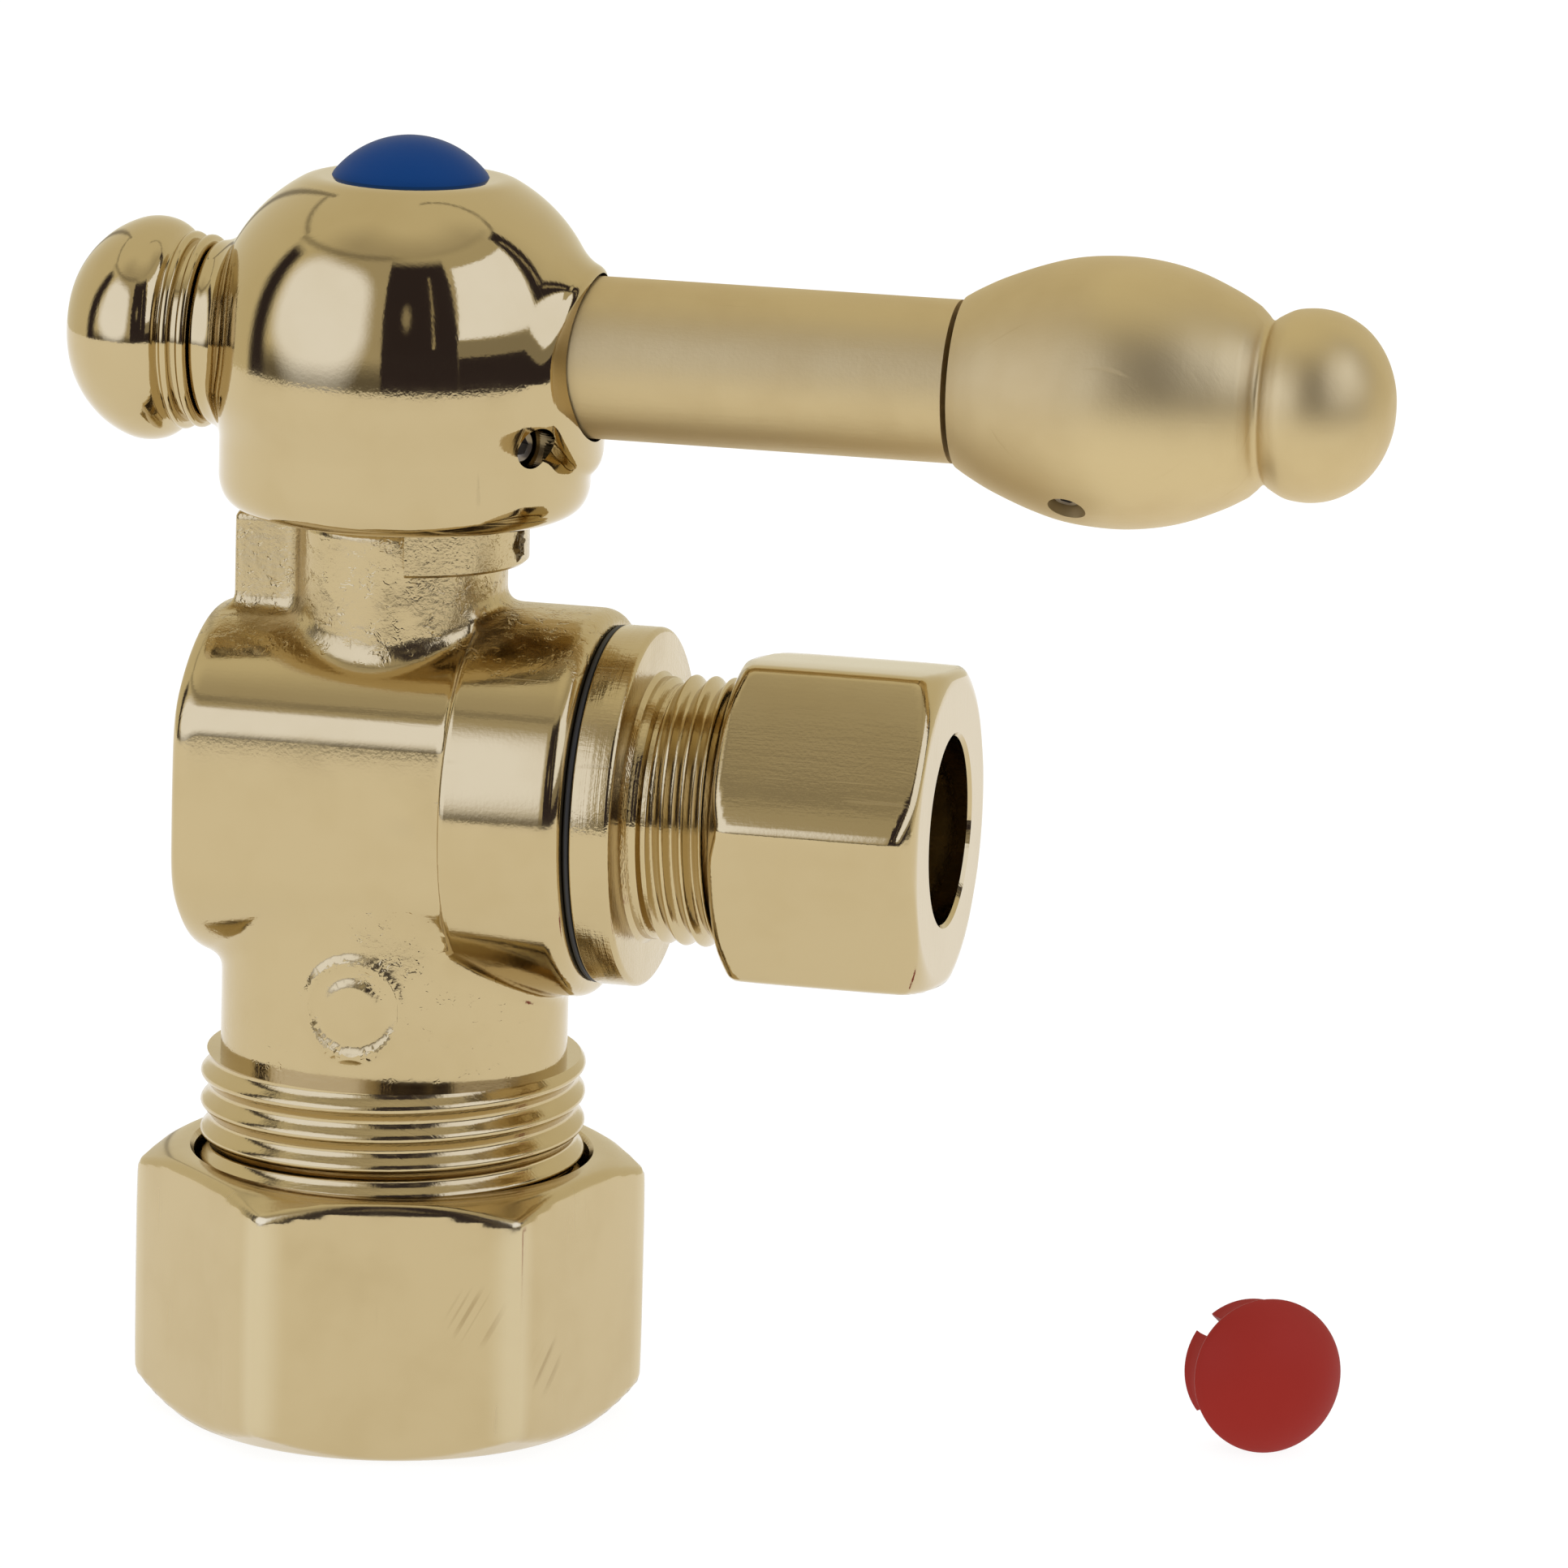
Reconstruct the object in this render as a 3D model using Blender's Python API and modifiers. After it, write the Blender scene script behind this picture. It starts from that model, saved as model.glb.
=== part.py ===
"""Quarter-turn angle stop valve with a turned lever handle, modelled piece by piece.

The lengths in this file are millimetres and the helpers turn them into metres. +Z is up, the
outlet points along +X, and the origin is on the inlet axis in the bottom face of the inlet nut.
The handle is modelled open, with its lever over the outlet.
"""

import math

import bmesh
import bpy
from mathutils import Matrix

MM = 0.001
FINE = 32
MEDIUM = 24
COARSE = 12

BARREL_Z = 33.95
LEVER_Z = 57.7

INLET_NUT_FLATS = 23.8
INLET_NUT_HEIGHT = 14.3
INLET_NUT_TURN = 15.35
INLET_CREST = 10.3
INLET_ROOT = 9.4
INLET_PITCH = 1.5875
INLET_TUBE_HOLE = 8.15

OUTLET_NUT_FLATS = 16.5
OUTLET_NUT_TURN = 6.5
OUTLET_NUT_START = 18.9
OUTLET_NUT_END = 30.0
OUTLET_CREST = 7.14
OUTLET_ROOT = 6.5
OUTLET_PITCH = 1.058
OUTLET_TUBE_HOLE = 4.98

NECK_RADIUS = 9.15
BARREL_RADIUS = 9.55
COLLAR_RADIUS = 10.3
BORE_RADIUS = 8.35
BONNET_RADIUS = 5.55
BONNET_TOP = 48.5
STOP_HALF_WIDTH = 1.6
STOP_GAP = 0.25

HUB_RADIUS = 9.8
HUB_BOTTOM = 48.9
DOME_RADIUS = 10.65
DOME_Z = 57.35
BOSS_FACE = 10.3
ROD_RADIUS = 4.25
BUTTON_RADIUS = 4.15
BALL_RADIUS = 6.6
PORT_RADIUS = 4.0


def clear_scene():
    """Remove everything that the scene starts with."""
    for obj in list(bpy.data.objects):
        bpy.data.objects.remove(obj, do_unlink=True)


def new_collection(name, cutters=False):
    """A collection linked to the scene, left out of renders when it holds cutters."""
    collection = bpy.data.collections.new(name)
    collection.hide_render = cutters
    bpy.context.scene.collection.children.link(collection)
    return collection


clear_scene()
PARTS = new_collection("angle_stop_valve")
CUTTERS = new_collection("cutters", cutters=True)


def material(name, colour, metallic, roughness):
    """A plain Principled material."""
    mat = bpy.data.materials.new(name)
    mat.use_nodes = True
    shader = mat.node_tree.nodes["Principled BSDF"]
    shader.inputs["Base Color"].default_value = (*colour, 1.0)
    shader.inputs["Metallic"].default_value = metallic
    shader.inputs["Roughness"].default_value = roughness
    return mat


def brass(name, roughness=0.15):
    """Polished yellow brass for one piece."""
    return material(f"{name}_brass", (0.60, 0.45, 0.22), 1.0, roughness)


def finish(obj, mat):
    """Give a piece its material and its smooth shading with sharp corners kept."""
    obj.data.materials.append(mat)
    mesh = obj.data
    mesh.shade_smooth()
    mesh.set_sharp_from_angle(angle=math.radians(35))
    return obj


def add_object(name, bm, place, cutter):
    """Turn a bmesh into an object in the parts or in the cutters."""
    mesh = bpy.data.meshes.new(name)
    bm.to_mesh(mesh)
    bm.free()
    obj = bpy.data.objects.new(name, mesh)
    obj.matrix_world = place
    if cutter:
        CUTTERS.objects.link(obj)
        obj.hide_render = True
        obj.display_type = "WIRE"
    else:
        PARTS.objects.link(obj)
    return obj


def upright():
    """Placement for a shape turned about the inlet and stem axis."""
    return Matrix.Identity(4)


def sideways(height):
    """Placement that lays a shape's own Z along +X at this height."""
    return Matrix.Translation((0, 0, height * MM)) @ Matrix.Rotation(math.radians(90), 4, "Y")


def turned(name, profile, steps, place, cutter=False):
    """Revolve (radius, height) points, listed down the outer side, about the shape's own Z."""
    bm = bmesh.new()
    verts = [bm.verts.new((radius * MM, 0, height * MM)) for radius, height in profile]
    for first, second in zip(verts, verts[1:]):
        bm.edges.new((first, second))
    if profile[0][0] > 0 or profile[-1][0] > 0:
        bm.edges.new((verts[-1], verts[0]))
    obj = add_object(name, bm, place, cutter)
    screw = obj.modifiers.new("Turn", "SCREW")
    screw.angle = math.tau
    screw.steps = steps
    screw.render_steps = steps
    screw.use_merge_vertices = True
    screw.merge_threshold = 1e-6
    return obj


def box(name, low, high, cutter=False, bevel=0.0, place=None):
    """A box between two corners, with an optional edge bevel."""
    bm = bmesh.new()
    size = [(b - a) * MM for a, b in zip(low, high)]
    middle = [(a + b) / 2 * MM for a, b in zip(low, high)]
    matrix = Matrix.Translation(middle) @ Matrix.Diagonal((*size, 1))
    bmesh.ops.create_cube(bm, size=1.0, matrix=matrix)
    if bevel:
        bmesh.ops.bevel(
            bm, geom=bm.edges[:], offset=bevel * MM, segments=2, profile=0.5,
            affect="EDGES", material=-1,
        )
    return add_object(name, bm, place or upright(), cutter)


def combine(obj, tool, operation):
    """Add an exact Boolean with another object."""
    boolean = obj.modifiers.new(tool.name, "BOOLEAN")
    boolean.object = tool
    boolean.operation = operation
    boolean.solver = "EXACT"


def arc(centre_r, centre_z, radius, start, end, count):
    """Points of an arc in a half profile, with 0 degrees outward and 90 degrees up."""
    points = []
    for index in range(count + 1):
        angle = math.radians(start + (end - start) * index / count)
        points.append((centre_r + radius * math.cos(angle), centre_z + radius * math.sin(angle)))
    return points


def thread(first, last, pitch, root, crest):
    """Thread crests and roots down a half profile, from height first to height last."""
    points = []
    count = int((first - last) / pitch)
    for index in range(count):
        top = first - index * pitch
        points += [(root, top), (crest, top - 0.5 * pitch)]
    points.append((root, first - count * pitch))
    return points


def inlet_and_bonnet():
    """Vertical part of the body: bonnet on top, neck and threaded inlet below."""
    profile = [(0, BONNET_TOP), (BONNET_RADIUS - 0.3, BONNET_TOP), (BONNET_RADIUS, BONNET_TOP - 0.3)]
    profile += [(BONNET_RADIUS, 36.0), (NECK_RADIUS, 32.0), (NECK_RADIUS, 19.9)]
    profile += thread(19.3, 8.6, INLET_PITCH, INLET_ROOT, INLET_CREST)
    profile += [(9.0, 8.0), (0, 8.0)]
    return turned("valve_body", profile, FINE, upright())


def barrel():
    """Horizontal part of the body, with a larger collar where the outlet end screws in."""
    profile = [(0, 11.5), (9.35, 11.5)]
    profile += arc(COLLAR_RADIUS - 0.9, 10.6, 0.9, 80, 0, 4)
    profile += [(COLLAR_RADIUS, 5.1), (BARREL_RADIUS, 4.7)]
    profile += arc(BARREL_RADIUS - 1.2, -9.45, 1.2, 0, -90, 4)
    profile += [(0, -10.65)]
    return turned("barrel", profile, FINE, sideways(BARREL_Z), cutter=True)


def roundel():
    """Raised disc with a rim, cast on the front of the neck in place of any mark."""
    place = Matrix.Translation((0, 0, 23.6 * MM)) @ Matrix.Rotation(math.radians(90), 4, "X")
    rim = turned(
        "roundel_rim", [(2.85, 11), (2.85, 7), (2.25, 7), (2.25, 11)], COARSE, place, cutter=True
    )
    disc = turned("roundel_disc", [(0, 11), (1.7, 11), (1.7, 7), (0, 7)], COARSE, place, cutter=True)
    shell = turned("roundel_limit", [(0, 28), (9.55, 28), (9.55, 19), (0, 19)], FINE, upright(), True)
    for piece in (rim, disc):
        combine(piece, shell, "INTERSECT")
    return rim, disc


def body_bores():
    """The tube socket, seat and stem bore up the middle, and the ball chamber from the outlet."""
    up = [(0, 50), (3.05, 50), (3.05, 43.15), (4.2, 43.15), (4.2, 30), (5.2, 30), (5.2, 17.6)]
    up += [(INLET_TUBE_HOLE, 17.6), (INLET_TUBE_HOLE, 8.75), (9.0, 7.9), (9.0, 7.0), (0, 7.0)]
    chamber = [(0, 12.5), (BORE_RADIUS, 12.5), (BORE_RADIUS, -7.7), (0, -7.7)]
    return (
        turned("inlet_bore", up, MEDIUM, upright(), cutter=True),
        turned("ball_chamber", chamber, MEDIUM, sideways(BARREL_Z), cutter=True),
    )


def valve_body():
    """The cast and turned body, with the stop lug beside the bonnet."""
    body = inlet_and_bonnet()
    combine(body, barrel(), "UNION")
    lug = box(
        "stop_lug", (-8.85, -STOP_HALF_WIDTH, 38), (-4.9, STOP_HALF_WIDTH, BONNET_TOP), True, 0.25
    )
    combine(body, lug, "UNION")
    for piece in roundel():
        combine(body, piece, "UNION")
    for cutter in body_bores():
        combine(body, cutter, "DIFFERENCE")
    return finish(body, brass("valve_body"))


def outlet_retainer():
    """Threaded end piece with a flange, screwed into the body to hold the ball in."""
    outer = [(5.7, 24.0), (6.4, 24.0)]
    outer += thread(23.6, 15.6, OUTLET_PITCH, OUTLET_ROOT, OUTLET_CREST)
    outer += [(6.5, 15.0), (6.95, 14.7), (6.95, 14.0), (9.2, 14.0), (9.5, 13.7), (9.5, 12.4)]
    outer += [(9.4, 12.3), (8.05, 12.3), (8.05, 7.7)]
    inner = [(3.9, 7.7), (3.9, 17.0), (4.9, 17.0), (4.9, 23.2)]
    piece = turned("outlet_retainer", outer + inner, MEDIUM, sideways(BARREL_Z))
    return finish(piece, brass("outlet_retainer"))


def retainer_o_ring():
    """Black seal squeezed between the body and the retainer flange."""
    profile = [(8.6, 12.15), (9.25, 12.15), (9.35, 12.0), (9.35, 11.8), (9.25, 11.65), (8.6, 11.65)]
    piece = turned("retainer_o_ring", profile, MEDIUM, sideways(BARREL_Z))
    return finish(piece, material("retainer_o_ring_rubber", (0.02, 0.02, 0.02), 0, 0.5))


def seat(name, mirror):
    """White seat ring whose cone bears on the ball."""
    profile = [(4.05, 7.4), (8.05, 7.4), (8.05, 4.2), (5.65, 4.2), (4.05, 5.6)]
    if mirror:
        profile = [(radius, -height) for radius, height in reversed(profile)]
    piece = turned(name, profile, MEDIUM, sideways(BARREL_Z))
    return finish(piece, material(f"{name}_ptfe", (0.85, 0.85, 0.82), 0, 0.45))


def ball():
    """Ball with an elbow port from below to the outlet side, and a slot for the stem."""
    place = Matrix.Translation((0, 0, BARREL_Z * MM))
    piece = turned("ball", arc(0, 0, BALL_RADIUS, 90, -90, 14), MEDIUM, place)
    port = [(0, 3.9), (PORT_RADIUS, 3.9), (PORT_RADIUS, -8), (0, -8)]
    combine(piece, turned("ball_port_down", port, COARSE, place, cutter=True), "DIFFERENCE")
    port = [(0, 8), (PORT_RADIUS, 8), (PORT_RADIUS, -3.9), (0, -3.9)]
    across = turned("ball_port_out", port, COARSE, sideways(BARREL_Z), cutter=True)
    combine(piece, across, "DIFFERENCE")
    slot = box("ball_slot", (-1.4, -8, BARREL_Z + 4.75), (1.4, 8, BARREL_Z + 8), cutter=True)
    combine(piece, slot, "DIFFERENCE")
    return finish(piece, material("ball_chrome", (0.75, 0.76, 0.78), 1.0, 0.08))


def stem():
    """Stem with its collar below the bonnet, two seal grooves, a square top and a tang."""
    profile = [(0, 48.6), (2.75, 48.6), (2.75, 47.5), (2.05, 47.4), (2.05, 46.2), (2.75, 46.1)]
    profile += [(2.75, 45.3), (2.05, 45.2), (2.05, 44.0), (2.75, 43.9), (2.75, 42.5)]
    profile += [(3.9, 42.4), (3.9, 41.0), (3.6, 40.7), (0, 40.7)]
    piece = turned("stem", profile, MEDIUM, upright())
    combine(piece, box("stem_tang", (-1.1, -3.4, 39.0), (1.1, 3.4, 41.2), True, 0.15), "UNION")
    combine(piece, box("stem_square", (-2.1, -2.1, 48.0), (2.1, 2.1, 57.9), True, 0.3), "UNION")
    hole = turned("stem_hole", [(0, 59), (1.3, 59), (1.3, 52), (0, 51.3)], COARSE, upright(), True)
    combine(piece, hole, "DIFFERENCE")
    return finish(piece, brass("stem", 0.25))


def stem_o_ring(name, height):
    """Black seal in one of the stem grooves."""
    profile = arc(2.55, height, 0.4, 90, -270, 8)[:-1]
    piece = turned(name, profile, COARSE, upright())
    return finish(piece, material(f"{name}_rubber", (0.02, 0.02, 0.02), 0, 0.5))


def thrust_washer():
    """Washer between the stem collar and the underside of the bonnet."""
    profile = [(3.0, 43.0), (3.95, 43.0), (3.95, 42.6), (3.0, 42.6)]
    piece = turned("thrust_washer", profile, COARSE, upright())
    return finish(piece, material("thrust_washer_ptfe", (0.85, 0.85, 0.82), 0, 0.45))


def hub_shell():
    """Domed hub turned about the stem axis, open above for the button."""
    profile = [(3.9, 66.1), (4.3, 66.1), (4.3, 66.7), (4.9, 66.6)]
    profile += arc(0, DOME_Z, DOME_RADIUS, 59, 21, 6)
    profile += [(10.1, 60.0), (10.12, 58.4), (10.05, 56.6), (9.92, 54.6), (HUB_RADIUS, 52.8)]
    profile += [(HUB_RADIUS, 50.4), (9.65, 49.95), (9.3, 49.5), (8.65, HUB_BOTTOM)]
    profile += [(1.7, HUB_BOTTOM), (1.7, 60.2), (3.1, 60.2), (3.1, 62.6), (3.9, 62.6)]
    return turned("handle_hub", profile, FINE, upright())


def lever_boss():
    """Side boss that takes the lever rod, its face rounded about the stem axis."""
    profile = [(0, 12), (5.2, 12), (5.2, 7.2), (0, 7.2)]
    boss = turned("lever_boss", profile, MEDIUM, sideways(LEVER_Z - 0.6), cutter=True)
    limit = turned("lever_boss_limit", [(0, 66), (BOSS_FACE, 66), (BOSS_FACE, 50), (0, 50)], 40,
                   upright(), True)
    combine(boss, limit, "INTERSECT")
    return boss


def stop_skirt():
    """Three-quarter skirt under the hub; its two ends meet the body's lug a quarter turn apart."""
    profile = [(5.8, 49.5), (6.65, 49.5), (6.65, 46.45), (5.8, 46.45)]
    skirt = turned("stop_skirt", profile, FINE, upright(), cutter=True)
    edge = STOP_HALF_WIDTH + STOP_GAP
    notch = box("stop_notch", (-9, -9, 45), (edge, edge, 50.5), cutter=True)
    combine(skirt, notch, "DIFFERENCE")
    return skirt


def hub_bores():
    """Square socket for the stem, lever socket, finial hole and set-screw hole."""
    square = box("square_socket", (-2.35, -2.35, 47), (2.35, 2.35, 58.2), cutter=True)
    lever = turned("lever_socket", [(0, 13), (4.5, 13), (4.5, 6.7), (0, 6.7)], MEDIUM,
                   sideways(LEVER_Z), True)
    finial_hole = turned("finial_hole", [(0, -6.3), (2.1, -6.3), (2.1, -12.7), (0, -12.7)], COARSE,
                         sideways(LEVER_Z), True)
    screw = turned("hub_screw_hole", [(0, 12), (1.1, 12), (1.1, 1.9), (0, 1.9)], COARSE,
                   set_screw_place(), True)
    return square, lever, screw, finial_hole


def set_screw_place():
    """Placement of the hub's set screw: radial, a third of a right angle in front of the lever."""
    turn = Matrix.Rotation(math.radians(-32), 4, "Z")
    return Matrix.Translation((0, 0, 53.6 * MM)) @ turn @ Matrix.Rotation(math.radians(90), 4, "Y")


def handle_hub():
    """The handle's hub, carrying the lever, the finial and the stop skirt."""
    hub = hub_shell()
    combine(hub, lever_boss(), "UNION")
    profile = [(0, -7.2), (4.85, -7.2), (4.85, -10.65), (0, -10.65)]
    finial_boss = turned("finial_boss", profile, MEDIUM, sideways(LEVER_Z), cutter=True)
    combine(hub, finial_boss, "UNION")
    combine(hub, stop_skirt(), "UNION")
    for cutter in hub_bores():
        combine(hub, cutter, "DIFFERENCE")
    return finish(hub, brass("handle_hub"))


def handle_screw():
    """Pan-head screw that ties the hub down on the stem."""
    profile = [(0, 62.1), (1.6, 62.1), (2.6, 61.6), (2.7, 60.9), (2.7, 60.5), (1.1, 60.5)]
    profile += [(1.1, 53.0), (0, 52.4)]
    piece = turned("handle_screw", profile, COARSE, upright())
    slot = box("handle_screw_slot", (-3, -0.35, 61.5), (3, 0.35, 63), cutter=True)
    combine(piece, slot, "DIFFERENCE")
    return finish(piece, material("handle_screw_steel", (0.55, 0.55, 0.56), 1.0, 0.3))


def hub_set_screw():
    """Grub screw that bears on the stem's square through the side of the hub."""
    profile = [(0, 7.6), (0.5, 7.6), (0.5, 8.9), (0.85, 8.9), (0.95, 8.7), (0.95, 3.5), (0.6, 3.1)]
    profile += [(0, 3.1)]
    piece = turned("hub_set_screw", profile, 12, set_screw_place())
    return finish(piece, material("hub_set_screw_steel", (0.45, 0.45, 0.46), 1.0, 0.35))


def finial():
    """Turned ball end opposite the lever, screwed into the hub by its stud."""
    profile = [(0, -6.6), (1.85, -6.6), (1.85, -10.85), (4.8, -10.85), (5.05, -11.0), (5.1, -11.3)]
    profile += [(4.75, -11.45), (4.75, -11.6), (5.15, -11.75), (5.25, -12.0), (5.1, -12.15)]
    profile += [(5.45, -12.35), (5.75, -12.8), (5.93, -13.5), (5.85, -14.3), (5.5, -15.3)]
    profile += [(4.95, -16.2), (4.1, -17.1), (3.0, -17.8), (1.6, -18.2), (0, -18.3)]
    return finish(turned("finial", profile, MEDIUM, sideways(LEVER_Z)), brass("finial"))


def lever_rod():
    """Straight rod between the hub and the grip."""
    profile = [(0, 40.0), (2.4, 40.0), (2.7, 39.7), (2.7, 29.6), (4.25, 29.6), (4.25, 7.2), (0, 7.0)]
    return finish(turned("lever_rod", profile, MEDIUM, sideways(LEVER_Z)), brass("lever_rod", 0.25))


def lever_grip():
    """Turned grip: a barrel-shaped swell, a thin neck and a button end."""
    profile = [(0, 52.5), (1.5, 52.3), (2.9, 51.7), (4.0, 50.8), (4.7, 49.7), (4.98, 48.5)]
    profile += [(4.9, 47.3), (4.55, 46.6), (4.25, 46.2), (4.2, 45.7), (4.7, 45.45), (5.05, 45.0)]
    profile += [(5.6, 44.0), (6.4, 42.1), (6.85, 40.3), (7.03, 38.3), (6.87, 36.0), (6.4, 34.1)]
    profile += [(5.6, 32.0), (4.9, 30.7), (4.45, 29.95), (3.0, 29.95), (3.0, 40.3), (0, 40.3)]
    grip = turned("lever_grip", profile, MEDIUM, sideways(LEVER_Z))
    hole = turned("grip_screw_hole", [(0, 9), (1.05, 9), (1.05, 2.0), (0, 2.0)], COARSE,
                  grip_screw_place(), True)
    combine(grip, hole, "DIFFERENCE")
    return finish(grip, brass("lever_grip", 0.3))


def grip_screw_place():
    """Placement of the grip's set screw: below the lever, turned to the front."""
    across = Matrix.Rotation(math.radians(143), 4, "X")
    return Matrix.Translation((36.4 * MM, 0, LEVER_Z * MM)) @ across


def grip_set_screw():
    """Grub screw that holds the grip on the rod."""
    profile = [(0, 5.3), (0.45, 5.3), (0.45, 6.3), (0.75, 6.3), (0.85, 6.1), (0.85, 3.3)]
    profile += [(0.5, 2.95), (0, 2.95)]
    piece = turned("grip_set_screw", profile, 12, grip_screw_place())
    return finish(piece, material("grip_set_screw_steel", (0.45, 0.45, 0.46), 1.0, 0.35))


def button(name, place, colour):
    """Domed index button with four spring prongs below."""
    radius = (BUTTON_RADIUS**2 + 2.1**2) / 4.2
    edge = math.degrees(math.acos(BUTTON_RADIUS / radius))
    profile = arc(0, 2.1 - radius, radius, 90, edge, 6)
    profile += [(BUTTON_RADIUS, -0.3), (3.6, -0.3), (3.6, -2.6), (3.75, -2.8), (3.6, -3.1)]
    profile += [(2.9, -3.1), (2.9, -0.4), (0, -0.4)]
    piece = turned(name, profile, MEDIUM, place)
    for index in range(2):
        turn = place @ Matrix.Rotation(math.radians(45 + 90 * index), 4, "Z")
        slot = box(f"{name}_slot_{index}", (-5, -0.6, -4), (5, 0.6, -0.7), True, 0, turn)
        combine(piece, slot, "DIFFERENCE")
    return finish(piece, material(f"{name}_plastic", colour, 0, 0.25))


def index_button():
    """Blue button pressed into the top of the hub."""
    return button("index_button", Matrix.Translation((0, 0, 66.65 * MM)), (0.005, 0.04, 0.17))


def spare_index_button():
    """Loose red button, standing on its edge beside the valve."""
    lean = Matrix.Rotation(math.radians(31), 4, "Z") @ Matrix.Rotation(math.radians(84), 4, "X")
    place = Matrix.Translation((46.9 * MM, 6.5 * MM, 4.16 * MM)) @ lean
    return button("spare_index_button", place, (0.28, 0.02, 0.015))


def hexagon(name, flats, start, end, turn, place):
    """Hexagonal prism; at zero turn a corner points along the shape's own X."""
    bm = bmesh.new()
    matrix = Matrix.Translation((0, 0, (start + end) / 2 * MM))
    matrix = Matrix.Rotation(math.radians(turn - 30), 4, "Z") @ matrix
    corner = flats / math.sqrt(3) * MM
    bmesh.ops.create_cone(
        bm, cap_ends=True, segments=6, radius1=corner, radius2=corner,
        depth=(end - start) * MM, matrix=matrix,
    )
    return add_object(name, bm, place, cutter=False)


def inlet_nut():
    """Large compression nut: a hexagon trimmed to chamfered ends and bored for thread and tube."""
    top = INLET_NUT_HEIGHT
    profile = [(11.75, top), (13.6, top - 1.05), (13.6, 1.5), (11.3, 0), (8.35, 0)]
    profile += [(INLET_TUBE_HOLE, 0.2), (INLET_TUBE_HOLE, 3.9), (10.6, 3.9), (10.6, top)]
    limit = turned("inlet_nut_limit", profile, FINE, upright(), cutter=True)
    nut = hexagon("inlet_nut", INLET_NUT_FLATS, -1, top + 1, INLET_NUT_TURN - 60, upright())
    combine(nut, limit, "INTERSECT")
    return finish(nut, brass("inlet_nut"))


def inlet_ferrule():
    """Compression sleeve between the inlet nut and the body."""
    profile = [(8.9, 7.75), (10.1, 6.9), (10.25, 6.5), (10.25, 4.6), (10.0, 4.2), (8.2, 4.2)]
    profile += [(8.2, 7.75)]
    return finish(turned("inlet_ferrule", profile, MEDIUM, upright()), brass("inlet_ferrule", 0.3))


def outlet_nut():
    """Small compression nut with deep end chamfers."""
    start, end = OUTLET_NUT_START, OUTLET_NUT_END
    profile = [(8.3, end), (9.42, end - 0.8), (9.42, start + 0.8), (8.3, start), (7.4, start)]
    profile += [(7.4, 27.0), (OUTLET_TUBE_HOLE, 27.0), (OUTLET_TUBE_HOLE, end)]
    limit = turned("outlet_nut_limit", profile, FINE, sideways(BARREL_Z), cutter=True)
    turn = 90 - OUTLET_NUT_TURN
    nut = hexagon("outlet_nut", OUTLET_NUT_FLATS, start - 1, end + 1, turn, sideways(BARREL_Z))
    combine(nut, limit, "INTERSECT")
    return finish(nut, brass("outlet_nut"))


def outlet_ferrule():
    """Compression sleeve between the outlet nut and the retainer."""
    profile = [(4.95, 26.75), (6.6, 26.75), (7.0, 26.3), (7.0, 25.2), (5.5, 24.3), (4.95, 24.3)]
    piece = turned("outlet_ferrule", profile, MEDIUM, sideways(BARREL_Z))
    return finish(piece, brass("outlet_ferrule", 0.3))


def build():
    """Make every piece."""
    valve_body()
    outlet_retainer()
    retainer_o_ring()
    seat("outlet_seat", mirror=False)
    seat("back_seat", mirror=True)
    ball()
    stem()
    stem_o_ring("stem_o_ring_lower", 44.6)
    stem_o_ring("stem_o_ring_upper", 46.8)
    thrust_washer()
    handle_hub()
    handle_screw()
    hub_set_screw()
    finial()
    lever_rod()
    lever_grip()
    grip_set_screw()
    index_button()
    spare_index_button()
    inlet_nut()
    inlet_ferrule()
    outlet_nut()
    outlet_ferrule()


build()
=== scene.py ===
import math

import bmesh
import bpy
import mathutils
import numpy as np
from mathutils import Matrix
from types import SimpleNamespace


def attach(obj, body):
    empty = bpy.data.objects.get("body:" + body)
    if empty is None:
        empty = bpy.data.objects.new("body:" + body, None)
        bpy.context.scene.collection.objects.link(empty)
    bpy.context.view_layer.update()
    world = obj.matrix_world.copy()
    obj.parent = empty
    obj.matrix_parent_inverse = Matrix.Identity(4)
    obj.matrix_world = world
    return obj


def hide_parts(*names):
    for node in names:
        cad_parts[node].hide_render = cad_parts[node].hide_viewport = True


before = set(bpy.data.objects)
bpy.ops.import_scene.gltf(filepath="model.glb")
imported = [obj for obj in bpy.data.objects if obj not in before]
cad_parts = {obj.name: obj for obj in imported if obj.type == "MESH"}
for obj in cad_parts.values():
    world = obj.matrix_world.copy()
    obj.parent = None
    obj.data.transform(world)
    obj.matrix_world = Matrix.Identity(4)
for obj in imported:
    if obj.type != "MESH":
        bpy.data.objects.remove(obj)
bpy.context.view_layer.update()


# ---------------------------------------------------------------------------------------------
# Table and tent. The valve stands on a white table top, under a glowing tent of tan cloth that only
# the brass reflects. A large soft lamp, a white card, dark strips and shaded cloth are painted into its glow.

def pointing(heading, dip, roll):
    """Turn that looks along +Y, swung left by heading, dipped and then rolled, in degrees."""
    swing = Matrix.Rotation(math.radians(heading), 4, "Z")
    tilt = Matrix.Rotation(math.radians(90 - dip), 4, "X")
    return swing @ tilt @ Matrix.Rotation(math.radians(roll), 4, "Z")


lens = bpy.data.cameras.new("camera")
lens.lens = 197.2
lens.sensor_width = 36
lens.clip_start = 0.01
camera = bpy.data.objects.new("camera", lens)
bpy.context.scene.collection.objects.link(camera)
stand = Matrix.Translation((0.12257, -0.42873, 0.13057))
camera.matrix_world = stand @ pointing(13.33, 12.147, 1.66)
bpy.context.scene.camera = camera
bpy.context.scene.view_settings.view_transform = "Standard"


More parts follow.
